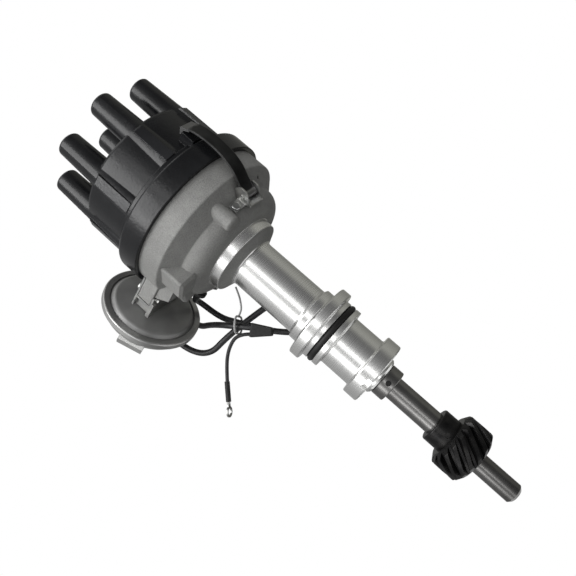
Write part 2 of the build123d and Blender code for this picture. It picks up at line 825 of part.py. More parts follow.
# Spring clips
def make_clip(index):
    """Flat spring strap with a rolled eye at its pin and a lip hooked over the cap's block."""
    eye_in = clip_pin_r + 0.07
    x0, z0 = clip_pin_ring_r, clip_pin_z
    lip_low = clip_block_z + slack
    out = Spline(
        (x0 + eye_in, z0 + 0.6),
        (clip_block_r - 0.6, 86.4),
        (clip_block_r + 3.9, 97.5),
        (clip_block_r + 4.7, 110.0),
        (clip_block_r + 2.4, 122.0),
        tangents=[(0.25, 1), (-0.45, 1)],
    )
    strap = thicken_line(out, clip_t)
    eye = Pos(x0, 0, z0) * Rot(90, 0, 0) * (Cylinder(eye_in + clip_eye_t, clip_width))
    body = extrude(Plane.XZ * strap, clip_width / 2, both=True) + eye
    top = out @ 1
    fall = clip_fall()
    lip_face = make_face(
        FilletPolyline(
            (top.X - 0.3, top.Y - 1.2),
            (top.X + 1.05, top.Y - 0.9),
            (clip_block_r + 1.4, lip_low + 2.6),
            (clip_block_r - 2.8, lip_low + fall * 2.8 + 1.2),
            (clip_block_r - 2.8, lip_low + fall * 2.8),
            (clip_block_r + 0.2, lip_low - fall * 0.2),
            radius=[0, 0, 1.0, 0, 0, 0.4],
            close=True,
        ).edges()
    )
    body += extrude(Plane.XZ * lip_face, clip_width / 2, both=True)
    body -= Pos(x0, 0, z0) * Rot(90, 0, 0) * Cylinder(eye_in, clip_width + 4)
    return clip_place(index) * single(body)


def thicken_line(line, thickness):
    """A thin closed face along one side of a line."""
    other = offset_copy(line, thickness)
    return make_face(
        [line, Line(line @ 1, other @ 1), other, Line(other @ 0, line @ 0)]
    )


def offset_copy(line, distance):
    """The line moved sideways by a distance, as a spline through a few stations."""
    stations = 9
    points = []
    for step in range(stations):
        share = step / (stations - 1)
        point = line @ share
        way = line % share
        points.append((point.X + way.Y * distance, point.Y - way.X * distance))
    return Spline(*points)


def make_clip_pins():
    length = clip_width + 2 * (slack + anchor_t) + 1.0
    pins = []
    for index in range(2):
        pin = Pos(clip_pin_ring_r, 0, clip_pin_z) * Rot(90, 0, 0) * Cylinder(clip_pin_r, length)
        pins.append(clip_place(index) * pin)
    return pins


def make_clip_anchors():
    """Folded sheet brackets: a base against the bowl, two ears for the pin and a riveted tab."""
    anchors = []
    ear_gap = clip_width / 2 + slack
    base_x = bowl_r + 0.15
    for index in range(2):
        foot_z = clip_pin_z - 6.0
        body = block(base_x, base_x + anchor_t, -ear_gap - anchor_t, ear_gap + anchor_t, foot_z, clip_pin_z + 2.2)
        ear_face = make_face(
            Polyline(
                (base_x, foot_z),
                (base_x + 1.55, foot_z - 1.3),
                (clip_pin_ring_r + 0.3, clip_pin_z - anchor_ear_r - 0.4),
                (clip_pin_ring_r + anchor_ear_r, clip_pin_z - 1.6),
                (clip_pin_ring_r + anchor_ear_r + 0.3, clip_pin_z + 2.7),
                (clip_pin_ring_r + 1.8, clip_pin_z + 6.2),
                (base_x, clip_pin_z + 2.2),
                close=True,
            ).edges()
        )
        ear = extrude(Plane.XZ * fillet(ear_face.vertices().sort_by(Axis.X)[2:], 1.4), anchor_t)
        for side in (-1, 1):
            y = side * ear_gap + (anchor_t if side > 0 else 0)
            body += Pos(0, y, 0) * ear
        body -= Pos(clip_pin_ring_r, 0, clip_pin_z) * Rot(90, 0, 0) * Cylinder(clip_pin_r + seat, 30)
        end = anchor_tab_turns[index]
        side = -1 if end < 0 else 1
        low, high = sorted((-2.0 * side, 30.0 * side))
        back, front = sorted((0.0, -30.0 * side))
        tab = ring(base_x + anchor_t, base_x, clip_pin_z - 3.6, clip_pin_z + 2.2)
        tab &= block(0, 60, low, high, 60, 90)
        tab &= Rot(0, 0, end) * block(0, 60, back, front, 60, 90)
        body += tab
        rivet_turn = Rot(0, 0, end - 4.0 * side)
        body -= rivet_turn * Pos(bowl_r, 0, clip_pin_z - 0.7) * Rot(0, 90, 0) * Cylinder(1.5 + seat, 12)
        anchors.append(clip_place(index) * single(body))
    return anchors


anchor_tab_turns = (-18.5, 17.5)


def make_anchor_rivets():
    rivets = []
    for index in range(2):
        shank = Rot(0, 90, 0) * Cylinder(1.5, 1.4, align=(Align.CENTER, Align.CENTER, Align.MIN))
        head = Rot(0, 90, 0) * Cylinder(2.6, 1.1, align=(Align.CENTER, Align.CENTER, Align.MIN))
        head = fillet(head.faces().sort_by(Axis.X)[-1].edges(), 0.9)
        rivet = Pos(bowl_r + 0.02, 0, clip_pin_z - 0.7) * shank + Pos(bowl_r + 1.22, 0, clip_pin_z - 0.7) * head
        end = anchor_tab_turns[index]
        turn = end + 4.0 if end < 0 else end - 4.0
        rivets.append(clip_place(index) * Rot(0, 0, turn) * single(rivet))
    return rivets


# Vacuum canister, drawn in its own frame with heights along the link
def make_can_inner():
    rim = can_rim_a
    s = can_sheet
    body = turned(
        (link_r + 0.5, rim - dome_h),
        (dome_flat_r, rim - dome_h, 3.0),
        (dome_r - 2.2, rim - 5.0, 3.0),
        (dome_r, rim - 0.6 - s, 0.8),
        (can_r - 1.7, rim - 0.6 - s),
        (can_r - 1.7, rim - 0.6),
        (dome_r - s, rim - 0.6, 0.8),
        (dome_r - 2.2 - s, rim - 5.0 + s, 2.0),
        (dome_flat_r, rim - dome_h + s, 3.0),
        (link_r + 0.5, rim - dome_h + s),
    )
    return can_frame * single(body)


def make_can_cover():
    rim = can_rim_a
    s = can_sheet
    lip_low = rim - 0.6 - s
    body = turned(
        (can_r - 4.0, lip_low - s),
        (can_r, lip_low - s, 1.1),
        (can_r, rim + 0.6 + s, 1.0),
        (cover_r + 1.4, rim + 0.6 + s, 0.8),
        (cover_r, rim + 6.5, 3.0),
        (13.0, rim + cover_h, 3.0),
        (0, rim + cover_h),
        (0, rim + cover_h - s),
        (12.4, rim + cover_h - s, 2.0),
        (cover_r - s, rim + 6.0, 2.0),
        (cover_r + 0.2, rim + 0.6),
        (can_r - 1.6, rim + 0.6),
        (can_r - 1.6, lip_low),
        (can_r - 4.0, lip_low),
    )
    body -= Pos(0, 0, rim + 2) * Cylinder(hose_bore_r, 60, align=(Align.CENTER, Align.CENTER, Align.MIN))
    return can_frame * single(body)


def make_hose_duct():
    """Angular duct on the cover, ending in the hose nipple."""
    rim = can_rim_a
    roof = rim + cover_h + seat
    side = Polyline(
        (-8, rim + 8),
        (cover_r - 1.0, rim + 3),
        (cover_r + 1.1, rim + 8.5),
        (cover_r - 3.0, rim + 14.6),
        (-6, rim + 15.6),
        close=True,
    )
    body = extrude(Plane.XZ * make_face(side.edges()), duct_half_w, both=True)
    body = chamfer(body.edges().filter_by(Axis.Y).sort_by(Axis.X)[-2:], 1.2)
    covered = turned(
        (0, rim),
        (can_r, rim),
        (can_r, rim + 0.6 + can_sheet + seat),
        (cover_r + 1.4 + seat, rim + 0.6 + can_sheet + seat, 0.8),
        (cover_r + seat, rim + 6.5 + seat, 3.0),
        (13.0, roof, 3.0),
        (0, roof),
    )
    body = Rot(0, 0, -20) * body - covered
    nipple_base = rim + 14.6
    nipple = turned(
        (0, nipple_base - 2),
        (4.6, nipple_base - 2),
        (4.6, nipple_base + 2.0, 0.6),
        (port_r, nipple_base + 2.0, port_root_round),
        (port_r, nipple_base + port_len, port_tip_round),
        (0, nipple_base + port_len),
    )
    body += nipple
    body -= Pos(0, 0, rim + 2) * Cylinder(hose_bore_r, 60, align=(Align.CENTER, Align.CENTER, Align.MIN))
    return can_frame * single(body)


def make_diaphragm():
    rim = can_rim_a
    body = turned(
        (link_r + seat, rim - 0.4),
        (17.0, rim - 0.4),
        (19.5, rim + 1.8, 0.8),
        (23.0, rim + 1.8, 0.8),
        (25.4, rim - 0.55),
        (can_r - 1.75, rim - 0.55),
        (can_r - 1.75, rim + 0.55),
        (26.0, rim + 0.55),
        (23.4, rim + 2.8, 0.8),
        (19.0, rim + 2.8, 0.8),
        (16.6, rim + 0.4),
        (link_r + seat, rim + 0.4),
    )
    return can_frame * single(body)


def make_diaphragm_plates():
    rim = can_rim_a
    inner = ring(13.5, link_r + seat, rim - 1.4, rim - 0.42)
    outer = turned(
        (link_r + seat, rim + 0.42),
        (13.5, rim + 0.42),
        (13.5, rim + 2.4),
        (12.6, rim + 2.4),
        (12.6, rim + 1.4),
        (link_r + seat, rim + 1.4),
    )
    return [can_frame * inner, can_frame * outer]


def make_diaphragm_spring():
    rim = can_rim_a
    wire = 0.5
    low = rim + 1.4 + wire
    high = rim + cover_h - can_sheet - wire
    turns = 4
    pitch = (high - low) / turns
    path = Helix(pitch, high - low, 9.0, center=(0, 0, low))
    section = Plane(origin=path @ 0, z_dir=path % 0) * RegularPolygon(wire * 0.9, 5)
    return can_frame * sweep(section, path=path, is_frenet=True)


stud_a = -can_offset * math.sin(math.radians(stud_angle - can_angle - 90))


def make_link():
    """Link from the diaphragm to the moving plate: round rod, then a flat bar with an eye."""
    rod_start = 41.0
    rod = Pos(0, 0, rod_start) * Cylinder(link_r, can_rim_a + 3.4 - rod_start, align=(Align.CENTER, Align.CENTER, Align.MIN))
    bar = block(-link_bar_w / 2, link_bar_w / 2, -link_bar_t / 2, link_bar_t / 2, stud_a, rod_start + 3)
    eye = Pos(0, 0, stud_a) * Rot(90, 0, 0) * Cylinder(eye_r, link_bar_t)
    body = rod + bar + eye
    body -= Pos(0, 0, stud_a) * Rot(90, 0, 0) * Cylinder(stud_r + stud_clear, 10)
    return can_frame * single(body)


def make_link_clip():
    x, y, _ = at_angle(can_offset, stud_angle)
    z = can_z + link_bar_t / 2 + 0.1
    body = post(stud_r + 1.2, x, y, z, z + 0.6) - post(stud_r + seat, x, y, z - 1, z + 2)
    return single(body)


def make_can_bracket():
    """Folded bracket between the canister and the lugs: a web on the dome, two arms, a tongue."""
    half = lug_half_w
    inner_h = lug_h / 2 + 0.05
    arm_end = 57.0
    step_x = half - 4.2
    step_a = lug_end_a + 0.6
    body = block(-half, step_x + arm_t, -inner_h, inner_h, arm_back_a - 0.1, arm_back_a + 1.0)
    body += block(step_x, step_x + arm_t, -inner_h, inner_h, step_a, arm_back_a)
    body += block(step_x, half, -inner_h, inner_h, step_a, step_a + arm_t)
    body += block(half - 3.0, half, -inner_h - arm_t - 1.4, -inner_h, arm_low_a + 4.2, arm_end)
    for sign in (-1, 1):
        low, high = sorted((sign * inner_h, sign * (inner_h + arm_t)))
        body += block(-half, half, low, high, 30 if sign > 0 else arm_low_a, arm_end)
    body = body - can_frame.inverse() * ring(band_r + 0.4, 0, 60, 120)
    keep = max(body.solids(), key=lambda s: s.volume)
    body = keep
    for x, a in bracket_screws:
        body -= Pos(x, 0, a) * Rot(-90, 0, 0) * Cylinder(bracket_screw_r + 0.2, 30)
    body -= Pos(0, 0, arm_back_a) * Cylinder(3.4, 8)
    return can_frame * single(body)


def make_bracket_screws():
    screws = []
    top = lug_h / 2 + 0.05 + arm_t
    for x, a in bracket_screws:
        shank = Pos(x, -top - 1.8, a) * Rot(-90, 0, 0) * Cylinder(bracket_screw_r, 2 * top + 1.9, align=(Align.CENTER, Align.CENTER, Align.MIN))
        head = Pos(x, top, a) * Rot(-90, 0, 0) * Cylinder(3.2, 2.0, align=(Align.CENTER, Align.CENTER, Align.MIN))
        head = fillet(head.faces().sort_by(Axis.Y)[-1].edges(), 0.8)
        head -= Pos(x, top + 2.0, a) * Box(0.9, 1.6, 8)
        screws.append(can_frame * single(shank + head))
    return screws


# Leads
def tube_along(points, diameter, label, first_cut=0.0):
    """A tube on straight runs joined by tangent arcs; prints each arc's radius."""
    vectors = [Vector(*p) for p in points]
    radii = []
    for before, here, after in zip(vectors, vectors[1:], vectors[2:]):
        run_in = here - before
        run_out = after - here
        turn = math.radians(run_in.get_angle(run_out))
        radii.append(0.45 * min(run_in.length, run_out.length) / math.tan(turn / 2))
    path = FilletPolyline(*points, radius=radii)
    section = Plane(origin=path @ 0, z_dir=path % 0) * Circle(diameter / 2)
    tube = sweep(section, path=Wire(path.edges()))
    whole = tube.solids()[0] if tube.solids() else tube
    want = math.pi * diameter**2 / 4 * path.length
    print(label, "radii", [round(r, 1) for r in radii], "length", round(path.length, 1))
    print(label, "volume", round(whole.volume, 1), "section times length", round(want, 1))
    return whole


def make_grommet():
    """Headed rubber grommet pressed into the hole in the bowl's wall."""
    base = (Align.CENTER, Align.CENTER, Align.MIN)
    head = Pos(bowl_r + 0.1, 0, 0) * Rot(0, 90, 0) * Cylinder(grommet_r, 2.6, align=base)
    head = fillet(head.faces().sort_by(Axis.X)[-1].edges(), 0.8)
    neck = Pos(bowl_r - wall - 0.4, 0, 0) * Rot(0, 90, 0) * Cylinder(grommet_neck_r, wall + 1.0, align=base)
    body = Rot(0, 0, grommet_angle) * Pos(0, 0, grommet_z) * (head + neck)
    start = Vector(*main_route[0])
    way = (Vector(*main_route[1]) - start).normalized()
    body -= Plane(origin=start - way * 4, z_dir=way).location * Cylinder(lead_d / 2 + seat, 24, align=base)
    return single(body)


main_route = (
    (-30.0, 15.9, 74.8),
    (-41.5, 22.0, 75.4),
    (-42.4, 42.0, 77.5),
    (-40.6, 40.5, 58.0),
    (-34.6, 30.6, 46.0),
    (-24.8, 30.4, 26.0),
    (-11.5, 31.0, 9.8),
    (7.5, 31.5, 11.5),
    (7.0, 30.0, 33.0),
    (-40.0, 25.6, 43.6),
    (-68.2, 35.0, 46.2),
    (-75.0, 50.0, 90.0),
    (-55.0, 55.0, 86.0),
    (-56.5, 47.5, 67.0),
    (-46.5, 34.0, 57.8),
    (-36.2, 19.5, 43.3),
    (-27.8, 19.5, 32.1),
)
earth_route = (
    (-31.7, 19.5, 30.5),
    (-38.0, 19.5, 39.0),
    (-49.5, 21.3, 37.6),
    (-60.5, 23.3, 29.9),
    (-74.4, 26.0, 16.0),
)
tail_route = (
    (-30.8, 25.9, 46.8),
    (-26.0, 24.8, 48.4),
    (-21.5, 25.0, 54.0),
    (-18.2, 26.5, 61.0),
)
boot_corners = ((-27.7, 36.9), (-35.4, 31.9), (-25.1, 21.6), (-21.1, 25.0))
boot_y = 19.5
boot_half = 3.2


def make_boot():
    """Tapered rubber boot that joins the end of the main cable and the earth lead."""
    face = make_face(Polyline(*boot_corners, close=True).edges())
    body = extrude(Plane(origin=(0, boot_y, 0), x_dir=(1, 0, 0), z_dir=(0, -1, 0)) * face, boot_half, both=True)
    body = fillet(body.edges(), 0.9)
    base = (Align.CENTER, Align.CENTER, Align.MIN)
    for route, diameter, last in ((main_route[::-1], lead_d, -1), (earth_route, earth_d, 0)):
        start = Vector(*route[0])
        way = (Vector(*route[1]) - start).normalized()
        body -= Plane(origin=start, z_dir=way).location * Cylinder(diameter / 2 + seat, 14, align=base)
    return single(body)


def make_heat_sleeve():
    end = Vector(*earth_route[-1])
    way = (end - Vector(*earth_route[-2])).normalized()
    base = (Align.CENTER, Align.CENTER, Align.MIN)
    body = Cylinder(sleeve_d / 2, 12.5, align=base) - Cylinder(earth_d / 2 + seat, 12.5, align=base)
    return Plane(origin=end - way * 12.5, z_dir=way).location * body


def make_ring_terminal():
    """Stamped ring terminal: crimped barrel, flat neck and ring, standing nearly edge-on to the front."""
    end = Vector(*earth_route[-1])
    way = (end - Vector(*earth_route[-2])).normalized()
    across = (Vector(-0.18, -0.97, 0.18) - way * way.dot(Vector(-0.18, -0.97, 0.18))).normalized()
    base = (Align.CENTER, Align.CENTER, Align.MIN)
    body = Cylinder(1.1, 1.6, align=base)
    body += Pos(0, 0, 1.6) * Box(3.0, 0.9, 3.0, align=base)
    body += Pos(0, 0, 6.4) * Rot(90, 0, 0) * Cylinder(3.5, 0.9)
    body -= Pos(0, 0, 6.4) * Rot(90, 0, 0) * Cylinder(2.1, 3)
    return Plane(origin=end, x_dir=across, z_dir=way).location * body


def make_tie():
    """Wire tie round the crossing leads, with one loose tail."""
    side = Vector(-0.77, 0, -0.64).normalized()
    deep = Vector(-0.047, -0.997, 0.057)
    deep = (deep - side * side.dot(deep)).normalized()
    centre = Vector(-34.96, 25.9, 43.38)
    normal = side.cross(deep)
    half_w, half_l = 5.4, 9.0
    loop = SlotOverall(2 * half_l, 2 * half_w)
    path = Rot(0, 0, 90) * loop
    plane = Plane(origin=centre, x_dir=side, z_dir=normal)
    wire = plane.location * Wire(path.edges())
    section = Plane(origin=wire @ 0, z_dir=wire % 0) * Circle(tie_d / 2)
    body = sweep(section, path=wire)
    tail = tube_along(tail_route, tie_d - 0.1, "tie tail")
    return single(body + tail)


os.makedirs("parts", exist_ok=True)
save("housing", make_housing())
save("o_ring", make_o_ring())
lower_bush, upper_bush = make_bushes()
save("lower_bush", lower_bush)
save("upper_bush", upper_bush)
save("drive_shaft", make_shaft())
save("thrust_collar", make_thrust_collar())
save("thrust_collar_pin", make_cross_pin(thrust_pin_z, thrust_r - 0.9))
save("drive_gear", make_gear())
save("gear_pin", make_cross_pin(gear_pin_z, gear_hub_r - 0.9))
save("advance_base_plate", make_base_plate())
save("weight_posts", *make_weight_posts())
save("advance_weight_a", make_weight(0))
save("advance_weight_b", make_weight(180))
save("advance_springs", *make_advance_springs())
save("timing_sleeve", make_sleeve())
save("sleeve_retainer", make_sleeve_retainer())
save("fixed_plate", make_fixed_plate())
save("plate_screws", *make_plate_screws())
save("pickup_plate", make_moving_plate())
save("plate_snap_ring", make_plate_ring())
save("trigger_wheel", make_trigger_wheel())
save("pole_piece", make_pole_piece())
save("pickup_module", make_pickup_module())
save("module_screws", *make_module_screws())
save("rotor_arm", make_rotor())
save("rotor_blade", make_blade())
save("distributor_cap", make_cap())
save("cap_terminals", *make_terminals())
save("centre_terminal", make_centre_terminal())
save("carbon_brush", make_brush())
save("brush_spring", make_brush_spring())
save("spring_clip_a", make_clip(0))
save("spring_clip_b", make_clip(1))
save("clip_pins", *make_clip_pins())
save("clip_anchors", *make_clip_anchors())
save("anchor_rivets", *make_anchor_rivets())
save("canister_shell", make_can_inner())
save("canister_cover", make_can_cover())
save("hose_duct", make_hose_duct())
save("diaphragm", make_diaphragm())
save("diaphragm_plates", *make_diaphragm_plates())
save("diaphragm_spring", make_diaphragm_spring())
save("vacuum_link", make_link())
save("link_clip", make_link_clip())
save("canister_bracket", make_can_bracket())
save("bracket_screws", *make_bracket_screws())
save("lead_grommet", make_grommet())
save("main_cable", tube_along(main_route, lead_d, "main cable"))
save("earth_lead", tube_along(earth_route, earth_d, "earth lead"))
save("lead_boot", make_boot())
save("heat_sleeve", make_heat_sleeve())
save("ring_terminal", make_ring_terminal())
save("cable_tie", make_tie())
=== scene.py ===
import math

import bpy
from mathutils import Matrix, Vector


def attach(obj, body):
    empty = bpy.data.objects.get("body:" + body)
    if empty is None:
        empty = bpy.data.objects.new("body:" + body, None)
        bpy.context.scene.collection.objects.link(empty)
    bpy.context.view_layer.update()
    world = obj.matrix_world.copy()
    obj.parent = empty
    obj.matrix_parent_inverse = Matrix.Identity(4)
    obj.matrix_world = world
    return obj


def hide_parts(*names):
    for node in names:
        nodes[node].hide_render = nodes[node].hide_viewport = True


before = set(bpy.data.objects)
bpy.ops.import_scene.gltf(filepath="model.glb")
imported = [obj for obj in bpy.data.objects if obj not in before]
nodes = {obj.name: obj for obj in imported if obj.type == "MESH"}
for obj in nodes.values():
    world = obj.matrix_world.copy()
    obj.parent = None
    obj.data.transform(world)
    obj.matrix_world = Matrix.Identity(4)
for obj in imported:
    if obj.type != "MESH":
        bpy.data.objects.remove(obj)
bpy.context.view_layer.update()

# Camera
# It stands in front of the pilots and looks slightly up. It is rolled, so that the cap points to the
# upper left.
camera_data = bpy.data.cameras.new("camera")
camera_data.sensor_width = 36.0
camera_data.lens = 36.465
camera_data.clip_start = 0.01
camera = bpy.data.objects.new("camera", camera_data)
bpy.context.scene.collection.objects.link(camera)
camera.location = (0.0, -0.33732, -0.02136)
camera.rotation_euler = (math.radians(103.285), math.radians(47.9606), math.radians(9.42425))
bpy.context.scene.camera = camera
bpy.context.scene.view_settings.view_transform = "Standard"


# Studio
# The camera sees a white surround. Mirror rays see upright grey and white bands round the horizon, dimmer
# towards the ground, which draw the bands on the tube. Diffuse light is grey and weaker from below.
def spread(tree, value, low, high, start=0.0, end=1.0):
    """The value, stretched from one range to another."""
    stretch = tree.nodes.new("ShaderNodeMapRange")
    stretch.inputs["From Min"].default_value = start
    stretch.inputs["From Max"].default_value = end
    stretch.inputs["To Min"].default_value = low
    stretch.inputs["To Max"].default_value = high
    tree.links.new(value, stretch.inputs["Value"])
    return stretch.outputs[0]


def mirror_rays(tree, path):
    """One for rays that come by way of a mirror or through glass, else nought."""
    sharp = tree.nodes.new("ShaderNodeMath")
    sharp.operation = "MAXIMUM"
    tree.links.new(path.outputs["Is Glossy Ray"], sharp.inputs[0])
    tree.links.new(path.outputs["Is Transmission Ray"], sharp.inputs[1])
    return sharp.outputs[0]


def faded_to(tree, share, colour, other):
    """The colour, faded by a share towards a fixed other one."""
    mix = tree.nodes.new("ShaderNodeMix")
    mix.data_type = "RGBA"
    mix.inputs[7].default_value = other
    tree.links.new(share, mix.inputs[0])
    tree.links.new(colour, mix.inputs[6])
    return mix.outputs[2]


white = (1.0, 1.0, 1.0, 1.0)
warm_side = -80
warmth = 0.92
bands = (
    (-180, 0.42), (-144, 0.20), (-116, 0.27), (-84, 0.36), (-60, 0.13), (-40, 0.16),
    (-16, 0.30), (-5, 0.55), (4, 0.95), (13, 0.95), (20, 0.46), (30, 0.40),
    (40, 0.90), (62, 0.95), (76, 0.55), (100, 0.40), (140, 0.36), (180, 0.42),
)
world = bpy.data.worlds.new("studio")
bpy.context.scene.world = world
world.use_nodes = True
tree = world.node_tree
background = tree.nodes["Background"]
path = tree.nodes.new("ShaderNodeLightPath")
where = tree.nodes.new("ShaderNodeTexCoord")
facing = tree.nodes.new("ShaderNodeVectorMath")
facing.operation = "MULTIPLY"
facing.inputs[1].default_value = (-1.0, -1.0, 1.0)
tree.links.new(where.outputs["Generated"], facing.inputs[0])
split = tree.nodes.new("ShaderNodeSeparateXYZ")
tree.links.new(facing.outputs[0], split.inputs[0])
azimuth = tree.nodes.new("ShaderNodeMath")
azimuth.operation = "ARCTAN2"
tree.links.new(split.outputs["X"], azimuth.inputs[0])
tree.links.new(split.outputs["Y"], azimuth.inputs[1])
surround = tree.nodes.new("ShaderNodeValToRGB")
stops = surround.color_ramp.elements
for degrees, level in bands:
    share = (degrees + 180) / 360
    stop = stops[0] if share == 0 else stops[-1] if share == 1 else stops.new(share)
    stop.color = (level, level, level * (warmth if degrees < warm_side else 1.0), 1.0)
tree.links.new(spread(tree, azimuth.outputs[0], 0.0, 1.0, -math.pi, math.pi), surround.inputs["Fac"])
dimmed = tree.nodes.new("ShaderNodeVectorMath")
dimmed.operation = "SCALE"
tree.links.new(surround.outputs["Color"], dimmed.inputs[0])
tree.links.new(spread(tree, split.outputs["Z"], 0.25, 1.0, -0.7, -0.1), dimmed.inputs["Scale"])
mirrored = tree.nodes.new("ShaderNodeMix")
mirrored.data_type = "RGBA"
tree.links.new(mirror_rays(tree, path), mirrored.inputs[0])
tree.links.new(spread(tree, split.outputs["Z"], 0.05, 0.56, -0.7, 0.6), mirrored.inputs[6])
tree.links.new(dimmed.outputs[0], mirrored.inputs[7])
seen = faded_to(tree, path.outputs["Is Camera Ray"], mirrored.outputs[2], white)
tree.links.new(seen, background.inputs["Color"])

# Lamps
# A tall strip and a high soft one stand towards -X, a narrow strip in front, and a soft one hangs above.
lamp_target = Vector((0.0, 0.0, 0.03))
for name, place, size, power in (
    ("key_tall", (-0.76, -0.57, 0.10), (0.28, 1.1), 2.1),
    ("front_tall", (-0.14, -0.94, 0.10), (0.16, 1.1), 1.05),
    ("key_high", (-0.50, -0.62, 0.62), (0.6, 0.5), 4.6),
    ("top_soft", (0.15, -0.25, 0.95), (0.6, 0.6), 1.2),
):
    lamp = bpy.data.lights.new(name, "AREA")
    lamp.shape = "RECTANGLE"
    lamp.size, lamp.size_y = size
    lamp.energy = power
    stand = bpy.data.objects.new(name, lamp)
    bpy.context.scene.collection.objects.link(stand)
    stand.location = place
    aim = lamp_target - Vector(place)
    stand.rotation_euler = aim.to_track_quat("-Z", "Y").to_euler()
    stand.visible_camera = False

# Floor
# A small sheet 0.2 m below the tip of the shaft. It glows, so that it looks white to the camera and pale
# in the metal.
floor_half = 0.30
floor_level = -0.34
glow_to_camera = 0.90
glow_in_metal = 0.74
floor_corners = [
    (-floor_half, -floor_half, floor_level),
    (floor_half, -floor_half, floor_level),
    (floor_half, floor_half, floor_level),
    (-floor_half, floor_half, floor_level),
]
floor_mesh = bpy.data.meshes.new("floor")
floor_mesh.from_pydata(floor_corners, [], [(0, 1, 2, 3)])
floor = bpy.data.objects.new("floor", floor_mesh)
bpy.context.scene.collection.objects.link(floor)
material = bpy.data.materials.new("white_floor")
material.use_nodes = True
tree = material.node_tree
surface = tree.nodes["Principled BSDF"]
surface.inputs["Base Color"].default_value = (0.26, 0.26, 0.26, 1.0)
surface.inputs["Roughness"].default_value = 0.9
surface.inputs["Specular IOR Level"].default_value = 0.0
surface.inputs["Emission Color"].default_value = white
path = tree.nodes.new("ShaderNodeLightPath")
mirror_glow = tree.nodes.new("ShaderNodeMath")
mirror_glow.operation = "MULTIPLY"
mirror_glow.inputs[1].default_value = glow_in_metal
tree.links.new(mirror_rays(tree, path), mirror_glow.inputs[0])
glow = tree.nodes.new("ShaderNodeMath")
glow.operation = "MULTIPLY_ADD"
glow.inputs[1].default_value = glow_to_camera
tree.links.new(path.outputs["Is Camera Ray"], glow.inputs[0])
tree.links.new(mirror_glow.outputs[0], glow.inputs[2])
tree.links.new(glow.outputs[0], surface.inputs["Emission Strength"])
floor_mesh.materials.append(material)


# Main cable
# Soft black sheath, one smooth line from the grommet through the tie and back into the boot.
# Its skin is satin, with faint dust and a slow waviness.
def start_finish(title):
    """A new material, its tree, its surface and the place on the piece in the piece's own axes."""
    material = bpy.data.materials.new(title)
    material.use_nodes = True
    tree = material.node_tree
    place = tree.nodes.new("ShaderNodeTexCoord")
    return material, tree, tree.nodes["Principled BSDF"], place.outputs["Object"]


def noise_on(tree, place, scale, detail=2.0):
    """Noise over the piece."""
    noise = tree.nodes.new("ShaderNodeTexNoise")
    noise.inputs["Scale"].default_value = scale
    noise.inputs["Detail"].default_value = detail
    tree.links.new(place, noise.inputs["Vector"])
    return noise


def tone_by(tree, noise, low, high, low_at=0.0, high_at=1.0):
    """The finish's colour, from the dark one to the pale one as the noise rises."""
    tone = tree.nodes.new("ShaderNodeValToRGB")
    tone.color_ramp.elements[0].position = low_at
    tone.color_ramp.elements[0].color = low
    tone.color_ramp.elements[1].position = high_at
    tone.color_ramp.elements[1].color = high
    tree.links.new(noise.outputs["Fac"], tone.inputs["Fac"])
    return tone.outputs["Color"]


def raised(tree, noise, strength, distance, over=None):
    """The noise as relief on the skin, over another normal where one is given."""
    relief = tree.nodes.new("ShaderNodeBump")
    relief.inputs["Strength"].default_value = strength
    relief.inputs["Distance"].default_value = distance
    tree.links.new(noise.outputs["Fac"], relief.inputs["Height"])
    if over is not None:
        tree.links.new(over, relief.inputs["Normal"])
    return relief.outputs["Normal"]


def lay_wire(line_name, name, points, diameter, roundness, material):
    """A smooth wire along its points, closed at both ends."""
    line = bpy.data.curves.new(line_name, "CURVE")
    line.dimensions = "3D"
    line.bevel_depth = diameter / 2
    line.bevel_resolution = roundness
    line.resolution_u = 14
    line.use_fill_caps = True
    spline = line.splines.new("NURBS")
    spline.points.add(len(points) - 1)
    for point, spot in zip(spline.points, points):
        point.co = (*spot, 1.0)
    spline.order_u = 3
    spline.use_endpoint_u = True
    line.materials.append(material)
    wire = bpy.data.objects.new(name, line)
    bpy.context.scene.collection.objects.link(wire)
    return wire


material, tree, surface, place = start_finish("cable_sheath")
surface.inputs["Specular IOR Level"].default_value = 0.45
dust = noise_on(tree, place, 220.0, 5.0)
tone = tone_by(tree, dust, (0.009, 0.009, 0.010, 1.0), (0.026, 0.026, 0.028, 1.0), 0.35, 0.75)
tree.links.new(tone, surface.inputs["Base Color"])
tree.links.new(spread(tree, dust.outputs["Fac"], 0.32, 0.55), surface.inputs["Roughness"])
tree.links.new(raised(tree, dust, 0.25, 0.0004), surface.inputs["Normal"])

main_diameter = 0.004
main_points = (
    (-0.0300, 0.0159, 0.0748),
    (-0.0415, 0.0220, 0.0754),
    (-0.0424, 0.0420, 0.0775),
    (-0.0406, 0.0405, 0.0580),
    (-0.0346, 0.0306, 0.0460),
    (-0.0248, 0.0304, 0.0260),
    (-0.0115, 0.0310, 0.0098),
    (0.0075, 0.0315, 0.0115),
    (0.0070, 0.0300, 0.0330),
    (-0.0400, 0.0256, 0.0436),
    (-0.0682, 0.0350, 0.0462),
    (-0.0750, 0.0500, 0.0900),
    (-0.0550, 0.0550, 0.0860),
    (-0.0565, 0.0475, 0.0670),
    (-0.0465, 0.0340, 0.0578),
    (-0.0362, 0.0195, 0.0433),
    (-0.0278, 0.0195, 0.0321),
)
main_cable = lay_wire("main_cable_line", "main_cable_sheath", main_points, main_diameter, 6, material)
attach(main_cable, "base")
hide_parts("main_cable")

